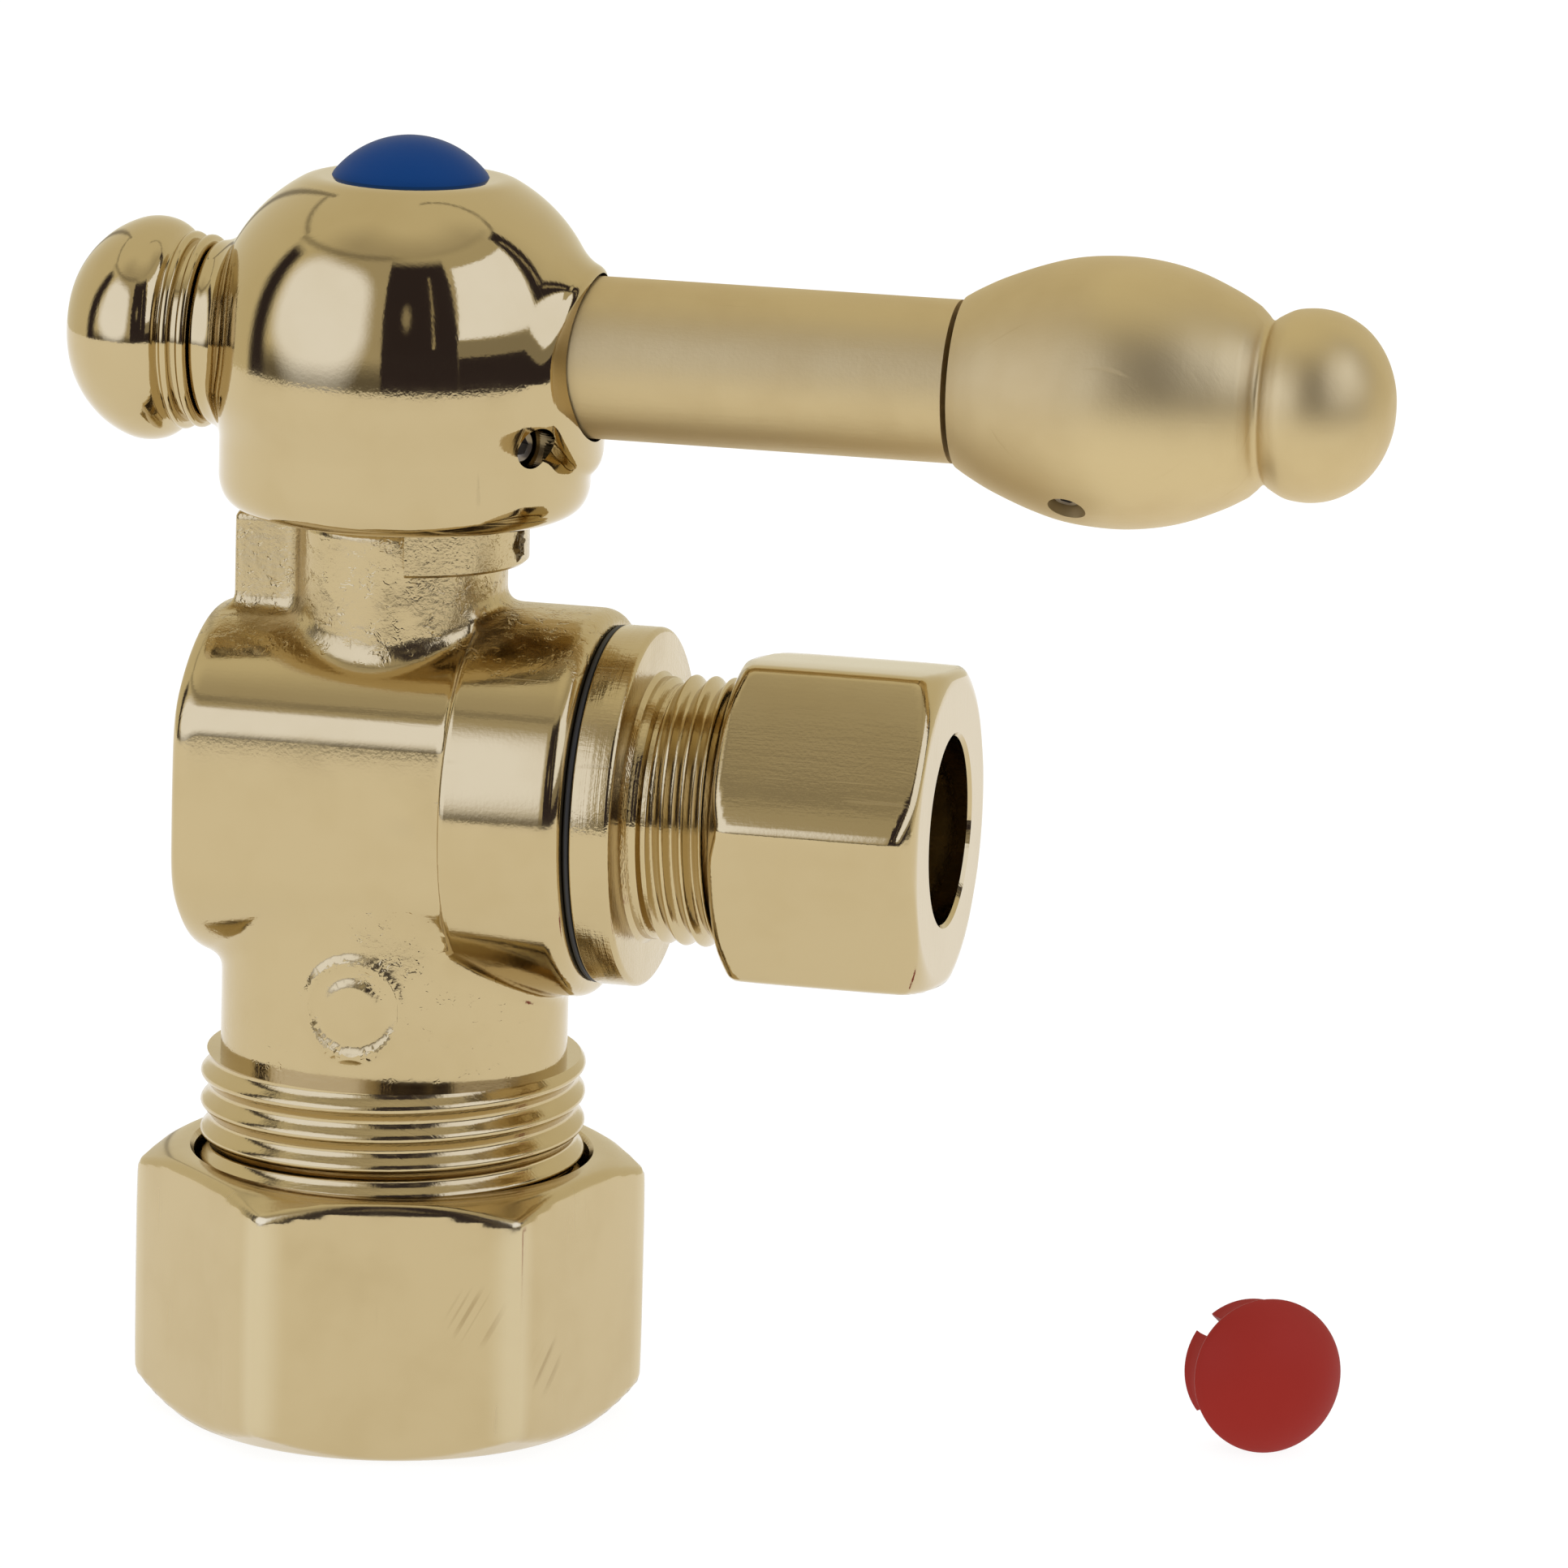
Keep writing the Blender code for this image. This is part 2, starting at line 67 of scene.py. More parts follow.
def node(tree, kind, inputs=None, **settings):
    """Add a shader node with its settings, and set or link its inputs."""
    added = tree.nodes.new(kind)
    for name, value in settings.items():
        setattr(added, name, value)
    for name, value in (inputs or {}).items():
        if isinstance(value, bpy.types.NodeSocket):
            tree.links.new(value, added.inputs[name])
        else:
            added.inputs[name].default_value = value
    return added


def sums(tree, operation, first, second=0.0, third=0.0):
    """A Math node's result."""
    return node(tree, "ShaderNodeMath", {0: first, 1: second, 2: third}, operation=operation).outputs[0]


def ramp(tree, value, low, high, to_low=0.0, to_high=1.0):
    """A smooth step of a value between two levels."""
    return node(
        tree, "ShaderNodeMapRange",
        {"Value": value, "From Min": low, "From Max": high, "To Min": to_low, "To Max": to_high},
        interpolation_type="SMOOTHSTEP",
    ).outputs["Result"]


def blend(tree, mask, first, second):
    """A mix of two colours by a mask."""
    mixed = node(tree, "ShaderNodeMix", {"Factor": mask}, data_type="RGBA")
    for socket, value in ((mixed.inputs[6], first), (mixed.inputs[7], second)):
        if isinstance(value, bpy.types.NodeSocket):
            tree.links.new(value, socket)
        else:
            socket.default_value = (*value, 1)
    return mixed.outputs[2]


def from_axis(tree, place):
    """How far a place lies from the Z axis."""
    flat = node(tree, "ShaderNodeVectorMath", {0: place, 1: (1, 1, 0)}, operation="MULTIPLY")
    return node(tree, "ShaderNodeVectorMath", {0: flat.outputs[0]}, operation="LENGTH").outputs["Value"]


def strip(tree, value, low, high, soft):
    """A mask that is one between two levels, with soft edges."""
    above = ramp(tree, value, low - soft, low + soft)
    return sums(tree, "MULTIPLY", above, ramp(tree, value, high + soft, high - soft))


def patch(tree, angle, rise, left, right, low, high, soft):
    """A mask over a patch of the tent, between two bearings and two elevations."""
    return sums(tree, "MULTIPLY", strip(tree, angle, left, right, soft), strip(tree, rise, low, high, soft))


def rounded(tree, angle, rise, centre, spread, power):
    """How far out a point lies from the middle of a rounded patch; one is its edge."""
    total = 0.0
    for value, middle, half in zip((angle, rise), centre, spread):
        off = sums(tree, "DIVIDE", sums(tree, "ABSOLUTE", sums(tree, "SUBTRACT", value, middle)), half)
        total = sums(tree, "ADD", total, sums(tree, "POWER", off, power))
    return sums(tree, "POWER", total, 1 / power)


def add_piece(name, bm):
    """Turn a bmesh into an object with its place in its mesh."""
    mesh = bpy.data.meshes.new(name)
    bm.to_mesh(mesh)
    bm.free()
    obj = bpy.data.objects.new(name, mesh)
    bpy.context.scene.collection.objects.link(obj)
    return obj


TENT_RADIUS = 0.42
TENT_MIDDLE = 0.0574

tent = bpy.data.materials.new("tent")
tent.use_nodes = True
tree = tent.node_tree
tree.nodes.clear()
place = node(tree, "ShaderNodeTexCoord").outputs["Object"]
sides = node(tree, "ShaderNodeSeparateXYZ", {0: place}).outputs

# Bearing and elevation of each place on the tent, in degrees.
angle = sums(tree, "MULTIPLY", sums(tree, "ARCTAN2", sides[1], sides[0]), 180 / math.pi)
rise = sums(tree, "ARCTAN2", sums(tree, "SUBTRACT", sides[2], TENT_MIDDLE), from_axis(tree, place))
rise = sums(tree, "MULTIPLY", rise, 180 / math.pi)

TAN = (0.83, 0.79, 0.64)
SOFT_WHITE = (1.27, 1.40, 1.88)
SHADE = (0.35, 0.325, 0.27)
BLACK = (0.04, 0.032, 0.042)
GLEAM = (0.6, 0.55, 0.42)

# Masks for the painted soft lamp, the sagging seam of painted shade above it, and the slanted lines that the
# painted strips follow.
lamp = rounded(tree, angle, rise, (-129, 19.5), (36, 30.5), 3.2)
seam = sums(tree, "POWER", sums(tree, "DIVIDE", sums(tree, "ADD", angle, 20.0), 160.0), 2.0)
seam = sums(tree, "SUBTRACT", rise, sums(tree, "SUBTRACT", 60.0, sums(tree, "MULTIPLY", seam, 16.0)))
seam = sums(tree, "MULTIPLY", strip(tree, seam, -1.5, 1.0, 2.5), ramp(tree, angle, -70, -100, 0.25, 1.0))
seam = sums(tree, "MULTIPLY", seam, ramp(tree, angle, 30, 20))
climb = sums(tree, "SUBTRACT", rise, sums(tree, "MULTIPLY", angle, 0.33))
behind = sums(tree, "SUBTRACT", angle, sums(tree, "MULTIPLY", rise, 0.46))
lean = sums(tree, "SUBTRACT", angle, sums(tree, "MULTIPLY", sums(tree, "SUBTRACT", rise, 30.0), 0.12))
glint = rounded(tree, angle, rise, (-75, 21), (3.5, 8), 2.0)
# Each layer paints light or shade into the tent's glow, from the cloth inwards.
layers = [
    # Shaded cloth overhead, over the lamp and low down.
    (sums(tree, "MULTIPLY", ramp(tree, rise, 82, 58), strip(tree, angle, -150, 20, 25)), (0.56, 0.52, 0.42)),
    (patch(tree, angle, rise, -89, 12, 40, 60, 2.5), (0.62, 0.58, 0.46)),
    (sums(tree, "MULTIPLY", ramp(tree, rise, 1, -7), strip(tree, angle, -176, 10, 4)), (0.16, 0.145, 0.12)),
    # Lamp, with the seam over it.
    (ramp(tree, lamp, 1.0, 0.7), SOFT_WHITE),
    (sums(tree, "MULTIPLY", seam, 0.85), (0.2, 0.18, 0.15)),
    # Dark strips and seams behind the valve.
    (patch(tree, angle, rise, -176, -164, -30, 40, 3.5), BLACK),
    (patch(tree, climb, angle, 44.5, 46.5, 26, 92, 1.2), SHADE),
    (patch(tree, behind, rise, 116.5, 119.5, -30, 50, 1.2), SHADE),
    (patch(tree, angle, rise, 141, 186, 45, 47, 1.5), SHADE),
    # The opening in front, with two faint gleams in it.
    (sums(tree, "MULTIPLY", strip(tree, angle, -89, -45, 0.6), ramp(tree, rise, 57, 50)), BLACK),
    (patch(tree, angle, rise, -59.6, -58.6, 5, 44, 0.5), GLEAM),
    (ramp(tree, glint, 1.1, 0.3), (0.4, 0.37, 0.3)),
    # White card with its shaded foot and its dark edge.
    (patch(tree, angle, rise, -45, 4, -30, 1, 0.7), BLACK),
    (patch(tree, angle, rise, -45, 8, 1, 9, 1.0), SHADE),
    (patch(tree, lean, rise, -42, 11, 10, 48.5, 0.7), SOFT_WHITE),
    (patch(tree, lean, rise, 12.5, 25, 14, 55, 1.2), BLACK),
    (patch(tree, angle, rise, 19.3, 20.6, 23, 50, 0.6), GLEAM),
]
colour = TAN
for mask, tint in layers:
    colour = blend(tree, mask, colour, tint)
shine = node(tree, "ShaderNodeEmission", {"Color": colour})
node(tree, "ShaderNodeOutputMaterial", {"Surface": shine.outputs[0]})

bm = bmesh.new()
bmesh.ops.create_uvsphere(
    bm, u_segments=64, v_segments=48, radius=TENT_RADIUS,
    matrix=Matrix.Translation((0, 0, TENT_MIDDLE)),
)
bmesh.ops.bisect_plane(
    bm, geom=bm.verts[:] + bm.edges[:] + bm.faces[:], plane_co=(0, 0, 0.0005), plane_no=(0, 0, 1),
    clear_inner=True,
)
shell = add_piece("tent", bm)
shell.data.materials.append(tent)
shell.data.shade_smooth()
shell.visible_camera = False
shell.visible_shadow = False
shell.visible_diffuse = False
shell.visible_transmission = False

white = bpy.data.materials.new("white_table")
white.use_nodes = True
top = white.node_tree.nodes["Principled BSDF"].inputs
top["Base Color"].default_value = (0.14, 0.14, 0.14, 1)
top["Roughness"].default_value = 0.9
top["Specular IOR Level"].default_value = 0.1
top["Emission Color"].default_value = (1, 1, 1, 1)
top["Emission Strength"].default_value = 0.91
bm = bmesh.new()
bmesh.ops.create_circle(bm, cap_ends=True, segments=96, radius=4.0)
table = add_piece("white_table", bm)
table.data.materials.append(white)

world = bpy.data.worlds.new("room")
world.use_nodes = True
bpy.context.scene.world = world
tree = world.node_tree
tree.nodes.clear()
sky = node(tree, "ShaderNodeBackground", {"Color": (1, 1, 1, 1)})
node(tree, "ShaderNodeOutputWorld", {"Surface": sky.outputs[0]})


# ---------------------------------------------------------------------------------------------
# Valve body. One brass casting: a barrel along X with a larger collar, a neck below, and the
# bonnet and stop lug above. It is tumbled and polished, so its corners are soft.

MM = 0.001
BARREL_Z = 33.95
BARREL_RADIUS = 9.55
COLLAR_RADIUS = 10.3
NECK_RADIUS = 9.33
BONNET_RADIUS = 5.55
BONNET_TOP = 48.5
MARK_Z = 23.6


def nearer(first, second, soft):
    """The smaller of two distances, eased over a width, which gives a fillet."""
    share = np.clip(0.5 + 0.5 * (second - first) / soft, 0, 1)
    return second + (first - second) * share - soft * share * (1 - share)


def within(first, second, soft):
    """The larger of two distances, eased over a width, which rounds an edge."""
    return -nearer(-first, -second, soft)


def slope(distance, points):
    """Unit normals of a distance field."""
    rise = np.empty_like(points)
    for axis in range(3):
        step = np.zeros(3)
        step[axis] = 0.002
        rise[:, axis] = distance(points + step) - distance(points - step)
    return rise / np.maximum(np.linalg.norm(rise, axis=1), 1e-12)[:, None]


def settle(obj):
    """Apply a piece's modifiers to its mesh."""
    bpy.context.view_layer.update()
    graph = bpy.context.evaluated_depsgraph_get()
    old = obj.data
    fresh = bpy.data.meshes.new_from_object(obj.evaluated_get(graph))
    obj.modifiers.clear()
    obj.data = fresh
    fresh.name = obj.name
    bpy.data.meshes.remove(old)
    return obj


def bore(obj, *tools, operation="DIFFERENCE"):
    """Cut tools from a piece, or join them to it, and throw them away."""
    for tool in tools:
        cut = obj.modifiers.new(tool.name, "BOOLEAN")
        cut.object = tool
        cut.operation = operation
        cut.solver = "EXACT"
    settle(obj)
    for tool in tools:
        bpy.data.objects.remove(tool)
    return obj


def points_of(mesh):
    """A mesh's points in millimetres."""
    points = np.empty(len(mesh.vertices) * 3)
    mesh.vertices.foreach_get("co", points)
    return points.reshape(-1, 3) / MM


def cast(name, seed, distance, grain):
    """Pour a rough seed shape onto the surface where the distance field is nil."""
    obj = add_piece(name, seed)
    mould = obj.modifiers.new("Mould", "REMESH")
    mould.mode = "VOXEL"
    mould.voxel_size = grain * MM
    mould.use_smooth_shade = True
    settle(obj)
    mesh = obj.data
    points = points_of(mesh)
    for _ in range(6):
        points -= slope(distance, points) * distance(points)[:, None] * 0.9
    mesh.vertices.foreach_set("co", (points * MM).ravel())
    mesh.update()
    return obj


def polish(obj, distance):
    """Give the faces on the poured surface its exact normals, and leave cut faces flat."""
    mesh = obj.data
    points = points_of(mesh)
    close = np.abs(distance(points)) < 0.012
    normals = slope(distance, points)
    corner = np.empty(len(mesh.loops), int)
    mesh.loops.foreach_get("vertex_index", corner)
    start = np.empty(len(mesh.polygons), int)
    count = np.empty(len(mesh.polygons), int)
    mesh.polygons.foreach_get("loop_start", start)
    mesh.polygons.foreach_get("loop_total", count)
    flat = np.empty(len(mesh.polygons) * 3)
    mesh.polygons.foreach_get("normal", flat)
    face = np.repeat(np.arange(len(count)), count)
    flat = flat.reshape(-1, 3)[face]
    poured = np.logical_and.reduceat(close[corner], start)[face]
    agree = np.einsum("ij,ij->i", normals[corner], flat) > 0.6
    chosen = np.where((poured & agree)[:, None], normals[corner], flat)
    mesh.shade_smooth()
    mesh.normals_split_custom_set(chosen)
    return obj


def along_x(height=BARREL_Z):
    """Placement that lays a shape's own Z along +X at a height."""
    return Matrix.Translation((0, 0, height * MM)) @ Matrix.Rotation(math.radians(90), 4, "Y")


def rod_shape(bm, radius, low, high, place=Matrix.Identity(4), sides=64):
    """Add a plain closed cylinder between two heights of its own Z."""
    middle = Matrix.Translation((0, 0, (low + high) / 2 * MM))
    bmesh.ops.create_cone(
        bm, cap_ends=True, segments=sides, radius1=radius * MM, radius2=radius * MM,
        depth=(high - low) * MM, matrix=place @ middle,
    )


def block(bm, low, high, place=Matrix.Identity(4)):
    """Add a box between two corners."""
    size = [(b - a) * MM for a, b in zip(low, high)]
    middle = [(a + b) / 2 * MM for a, b in zip(low, high)]
    matrix = place @ Matrix.Translation(middle) @ Matrix.Diagonal((*size, 1))
    bmesh.ops.create_cube(bm, size=1.0, matrix=matrix)


def turn(name, profile, steps=128, place=Matrix.Identity(4)):
    """Spin a closed or axis-ended half profile of (radius, height) about its own Z."""
    bm = bmesh.new()
    verts = [bm.verts.new((radius * MM, 0, height * MM)) for radius, height in profile]
    edges = [bm.edges.new(pair) for pair in zip(verts, verts[1:])]
    if profile[0][0] > 0 or profile[-1][0] > 0:
        edges.append(bm.edges.new((verts[-1], verts[0])))
    bmesh.ops.spin(
        bm, geom=verts + edges, cent=(0, 0, 0), axis=(0, 0, 1), angle=math.tau, steps=steps,
        use_merge=True, use_duplicate=False,
    )
    bmesh.ops.remove_doubles(bm, verts=bm.verts, dist=1e-7)
    bmesh.ops.dissolve_degenerate(bm, dist=1e-8, edges=bm.edges)
    bmesh.ops.recalc_face_normals(bm, faces=bm.faces)
    bmesh.ops.transform(bm, matrix=place, verts=bm.verts)
    return add_piece(name, bm)


def body_distance(points):
    """Distance in millimetres from the outside of the casting."""
    x, y, z = points.T
    ring = np.hypot(y, z - BARREL_Z)
    upright = np.hypot(x, y)
    front = np.abs(y) - 8.54 + 0.0071 * np.maximum(z - 33.3, 0) ** 2
    front = within(front, -x - 10.2, 1.2)
    barrel = within(within(ring - BARREL_RADIUS, -x - 10.65, 2.0), x - 9.0, 0.2)
    barrel = within(barrel, np.where(x < 7, front, -5), 0.35)
    collar = within(within(ring - COLLAR_RADIUS, x - 11.5, 1.1), 4.95 - x, 0.35)
    mark = np.hypot(x, z - MARK_Z)
    raised = 0.16 * np.exp(-(((mark - 2.5) / 0.3) ** 2)) + 0.13 / (1 + np.exp((mark - 1.5) / 0.12))
    neck = within(np.hypot(x, 1.138 * y) - NECK_RADIUS - raised * (y < 0), 18.9 - z, 0.2)
    bonnet = within(upright - BONNET_RADIUS, z - BONNET_TOP, 0.4)
    lug = within(within(np.abs(x + 6.9) - 1.95, np.abs(y) - 1.6, 0.4), z - BONNET_TOP, 0.4)
    body = nearer(barrel, collar, 0.5)
    body = nearer(body, within(neck, z - 28.8, 0.6), 0.8)
    body = nearer(body, within(bonnet, 34 - z, 0.2), 0.9)
    return nearer(body, within(lug, 36 - z, 0.2), 0.7)


seed = bmesh.new()
rod_shape(seed, 9.5, -10.6, 9.0, along_x())
rod_shape(seed, 10.25, 4.95, 11.45, along_x())
rod_shape(seed, 9.3, 18.95, 34)
rod_shape(seed, 5.5, 34, 48.45)
block(seed, (-8.8, -1.55, 36), (-4.95, 1.55, 48.45))
body = cast("body_casting", seed, body_distance, 0.21)
waterway = [(0, 50), (3.05, 50), (3.05, 43.15), (4.2, 43.15), (4.2, 30), (5.2, 30), (5.2, 17), (0, 17)]
chamber = [(0, 12.5), (8.35, 12.5), (8.35, -7.7), (0, -7.7)]
bore(body, turn("waterway", waterway, 64), turn("chamber", chamber, 96, along_x()))
polish(body, body_distance)


def group(name, inputs, outputs):
    """An empty shader group with named inputs and outputs."""
    tree = bpy.data.node_groups.new(name, "ShaderNodeTree")
    for kind, socket, value in inputs:
        made = tree.interface.new_socket(socket, in_out="INPUT", socket_type=kind)
        if value is not None:
            made.default_value = value
    for kind, socket in outputs:
        tree.interface.new_socket(socket, in_out="OUTPUT", socket_type=kind)
    return tree, node(tree, "NodeGroupInput"), node(tree, "NodeGroupOutput")


def noise(tree, place, scale, detail=2.0, rough=0.5, twist=0.0):
    """A noise pattern's value."""
    return node(
        tree, "ShaderNodeTexNoise",
        {"Vector": place, "Scale": scale, "Detail": detail, "Roughness": rough, "Distortion": twist},
    ).outputs["Fac"]


# Polished brass: faint clouding, buffing hairlines, a few scratches, and a light tarnish.
polish_group, got, give = group(
    "polished_surface",
    [("NodeSocketVector", "Place", None), ("NodeSocketColor", "Bright", (1, 1, 1, 1)),
     ("NodeSocketColor", "Dull", (1, 1, 1, 1)), ("NodeSocketFloat", "Smooth", 0.06),
     ("NodeSocketFloat", "Worn", 0.2)],
    [("NodeSocketColor", "Colour"), ("NodeSocketFloat", "Roughness"), ("NodeSocketFloat", "Height")],
)
tree = polish_group
at = got.outputs["Place"]
cloud = ramp(tree, noise(tree, at, 160, 3, 0.6), 0.4, 0.75)
squeezed = node(tree, "ShaderNodeMapping", {"Vector": at, "Rotation": (0.3, 0.5, 0.9), "Scale": (1, 22, 1)})
hair = noise(tree, squeezed.outputs[0], 260, 3, 0.7)
squeezed = node(tree, "ShaderNodeMapping", {"Vector": at, "Rotation": (0.9, -0.4, -0.6), "Scale": (1, 30, 1)})
deep = ramp(tree, noise(tree, squeezed.outputs[0], 130, 2, 0.5), 0.68, 0.76)
grain = noise(tree, at, 5200, 2, 0.5)
tree.links.new(
    blend(tree, sums(tree, "MULTIPLY", cloud, 0.45), got.outputs["Bright"], got.outputs["Dull"]),
    give.inputs["Colour"],
)
spread = sums(tree, "ADD", sums(tree, "MULTIPLY", hair, 0.6), cloud)
spread = sums(tree, "MULTIPLY", got.outputs["Worn"], spread)
spread = sums(tree, "ADD", spread, sums(tree, "MULTIPLY", deep, 0.10))
tree.links.new(sums(tree, "ADD", got.outputs["Smooth"], spread), give.inputs["Roughness"])
lift = sums(tree, "SUBTRACT", sums(tree, "MULTIPLY", grain, 0.3), sums(tree, "MULTIPLY", deep, 0.5))
tree.links.new(sums(tree, "ADD", lift, sums(tree, "MULTIPLY", hair, 0.35)), give.inputs["Height"])

# Cast skin: the fine sand texture that stays where the wheel doesn't reach.
skin_group, got, give = group(
    "cast_skin",
    [("NodeSocketVector", "Place", None)],
    [("NodeSocketFloat", "Height")],
)
tree = skin_group
at = got.outputs["Place"]
lumps = noise(tree, at, 900, 4, 0.65)
sand = noise(tree, at, 3200, 3, 0.6)
pits = ramp(tree, noise(tree, at, 1300, 3, 0.7, 0.4), 0.56, 0.66)
total = sums(tree, "ADD", sums(tree, "MULTIPLY", lumps, 0.8), sums(tree, "MULTIPLY", sand, 0.35))
tree.links.new(sums(tree, "SUBTRACT", total, sums(tree, "MULTIPLY", pits, 0.5)), give.inputs["Height"])

# Turned surface: the fine rings that a lathe tool leaves about an axis laid on Z.
ring_group, got, give = group(
    "turned_rings",
    [("NodeSocketVector", "Place", None), ("NodeSocketFloat", "Closeness", 3000.0)],
    [("NodeSocketFloat", "Height")],
)
tree = ring_group
height = node(tree, "ShaderNodeSeparateXYZ", {0: got.outputs["Place"]}).outputs[2]
joined = node(tree, "ShaderNodeCombineXYZ", {0: from_axis(tree, got.outputs["Place"]), 1: height}).outputs[0]
tree.links.new(noise(tree, joined, got.outputs["Closeness"], 3, 0.7), give.inputs["Height"])

BRIGHT = (0.545, 0.432, 0.237, 1)
DULL = (0.50, 0.385, 0.195, 1)


def brass(name, smooth, worn, bump=0.02, rings=0.0, closeness=3000.0, place=None, bright=BRIGHT, dull=DULL):
    """Brass for one piece: polished surface, with lathe rings about an axis if it was turned."""
    mat = bpy.data.materials.new(name)
    mat.use_nodes = True
    tree = mat.node_tree
    metal = tree.nodes["Principled BSDF"]
    metal.inputs["Metallic"].default_value = 1.0
    at = node(tree, "ShaderNodeTexCoord").outputs["Object"]
    surface = node(
        tree, "ShaderNodeGroup",
        {"Place": at, "Bright": bright, "Dull": dull, "Smooth": smooth, "Worn": worn},
        node_tree=polish_group,
    )
    tree.links.new(surface.outputs["Colour"], metal.inputs["Base Color"])
    tree.links.new(surface.outputs["Roughness"], metal.inputs["Roughness"])
    height = surface.outputs["Height"]
    if rings:
        spot = at
        if place is not None:
            spot = node(tree, "ShaderNodeMapping", {"Vector": at, **place}, vector_type="POINT").outputs[0]
        lines = node(tree, "ShaderNodeGroup", {"Place": spot, "Closeness": closeness}, node_tree=ring_group)
        height = sums(tree, "ADD", height, sums(tree, "MULTIPLY", lines.outputs["Height"], rings))
    relief = node(tree, "ShaderNodeBump", {"Strength": bump, "Distance": 0.0004, "Height": height})
    tree.links.new(relief.outputs[0], metal.inputs["Normal"])
    return SimpleNamespace(mat=mat, tree=tree, metal=metal, at=at, surface=surface, relief=relief)


def roughen(made, strength, depth, mask=1.0):
    """Lay the cast skin over a piece's polish where the mask lets it show."""
    skin = node(made.tree, "ShaderNodeGroup", {"Place": made.at}, node_tree=skin_group)
    height = sums(made.tree, "MULTIPLY", skin.outputs["Height"], mask)
    coarse = node(made.tree, "ShaderNodeBump", {"Strength": strength, "Distance": depth, "Height": height})
    made.tree.links.new(made.relief.outputs[0], coarse.inputs["Normal"])
    made.tree.links.new(coarse.outputs[0], made.metal.inputs["Normal"])


def from_spot(made, spot):
    """How far each place on a piece lies from a spot."""
    return node(
        made.tree, "ShaderNodeVectorMath", {0: made.at, 1: spot}, operation="DISTANCE",
    ).outputs["Value"]


def finish(obj, mat, body_name, slot, *nodes, sharp=35):
    """Give a piece its material, shading and body, and hide the CAD nodes it stands for. The slot is not
    used.
    """
    obj.data.materials.clear()
    obj.data.materials.append(mat)
    if sharp:
        obj.data.shade_smooth()
        obj.data.set_sharp_from_angle(angle=math.radians(sharp))
    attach(obj, body_name)
    if nodes:
        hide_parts(*nodes)
    return obj


# The bonnet keeps its cast skin, and so do the neck and one rough spot on it, more faintly.
made = brass("body_brass", 0.07, 0.05)
tree = made.tree
up = node(tree, "ShaderNodeSeparateXYZ", {0: made.at}).outputs[2]
boss = ramp(tree, up, 0.0412, 0.0428)
neck = ramp(tree, up, 0.0285, 0.0262)
rough_spot = ramp(tree, from_spot(made, (0.002, -0.0082, 0.0272)), 0.0034, 0.0012, 0.0, 0.9)
mask = sums(tree, "MAXIMUM", boss, sums(tree, "MULTIPLY", neck, 0.15))
mask = sums(tree, "MAXIMUM", mask, rough_spot)
patchy = ramp(tree, noise(tree, made.at, 260, 2, 0.6), 0.35, 0.62)
mask = sums(tree, "MULTIPLY", mask, sums(tree, "ADD", sums(tree, "MULTIPLY", patchy, 0.7), 0.3))
roughen(made, 0.35, 0.00022, mask)
rougher = sums(tree, "ADD", made.surface.outputs["Roughness"], sums(tree, "MULTIPLY", mask, 0.16))
tree.links.new(rougher, made.metal.inputs["Roughness"])
finish(body, made.mat, "valve", "polished_brass", "valve_body", sharp=0)


# ---------------------------------------------------------------------------------------------
# Inlet spigot of the body. A real right-hand thread is cut on it, and the tube socket is bored
# up its middle. It is one piece with the casting in the real valve.

def screw_thread(name, root, crest, pitch, low, high, place=Matrix.Identity(4), steps=96):
    """A solid screw thread about its own Z, cut square at both ends."""
    bm = bmesh.new()
    steep = [(0, 0), (0.06, 0.08), (0.3, 0.2), (0.75, 0.34), (0.95, 0.43), (1, 0.5)]
    shape = [(root + (crest - root) * rise, at) for rise, at in steep]
    shape += [(r, 1 - at) for r, at in reversed(shape[:-1])]
    turns = math.ceil((high - low) / pitch) + 2
    verts = [bm.verts.new((r * MM, 0, (low + (h - 1.5) * pitch) * MM)) for r, h in shape]
    edges = [bm.edges.new(pair) for pair in zip(verts, verts[1:])]
    bmesh.ops.spin(
        bm, geom=verts + edges, cent=(0, 0, 0), axis=(0, 0, 1), angle=math.tau * turns,
        dvec=(0, 0, pitch * MM / steps), steps=steps * turns, use_merge=False, use_duplicate=False,
    )
    bmesh.ops.remove_doubles(bm, verts=bm.verts, dist=2e-7)
    for level, outward in ((high, 1), (low, -1)):
        bmesh.ops.bisect_plane(
            bm, geom=bm.verts[:] + bm.edges[:] + bm.faces[:], dist=1e-8,
            plane_co=(0, 0, level * MM), plane_no=(0, 0, outward), clear_outer=True,
        )
    bmesh.ops.holes_fill(bm, edges=[e for e in bm.edges if e.is_boundary], sides=0)
    bmesh.ops.recalc_face_normals(bm, faces=bm.faces)
    bmesh.ops.transform(bm, matrix=place, verts=bm.verts)
    return add_piece(name, bm)


INLET_PITCH = 25.4 / 16
spigot = screw_thread("inlet_thread", 9.75, 10.27, INLET_PITCH, 8.0, 19.55)
socket = [(0, 21), (5.2, 21), (5.2, 17.6), (8.15, 17.6), (8.15, 8.75), (9.0, 7.9), (9.0, 7.0), (0, 7.0)]
bore(spigot, turn("tube_socket", socket, 96))
threaded = brass("inlet_thread_brass", 0.10, 0.10, 0.05, 0.5, 1800.0)
finish(spigot, threaded.mat, "valve", "polished_brass", sharp=28)


# ---------------------------------------------------------------------------------------------
# Outlet end piece. Turned from bar: a flange that bears on the collar, a relief behind the
# thread, and the thread for the small nut. A black ring seals it to the body.

def arc(centre_r, centre_z, radius, start, end, count):
    """Points of an arc in a half profile, with 0 degrees outward and 90 degrees up."""
    turns = [math.radians(start + (end - start) * index / count) for index in range(count + 1)]
    return [(centre_r + radius * math.cos(a), centre_z + radius * math.sin(a)) for a in turns]


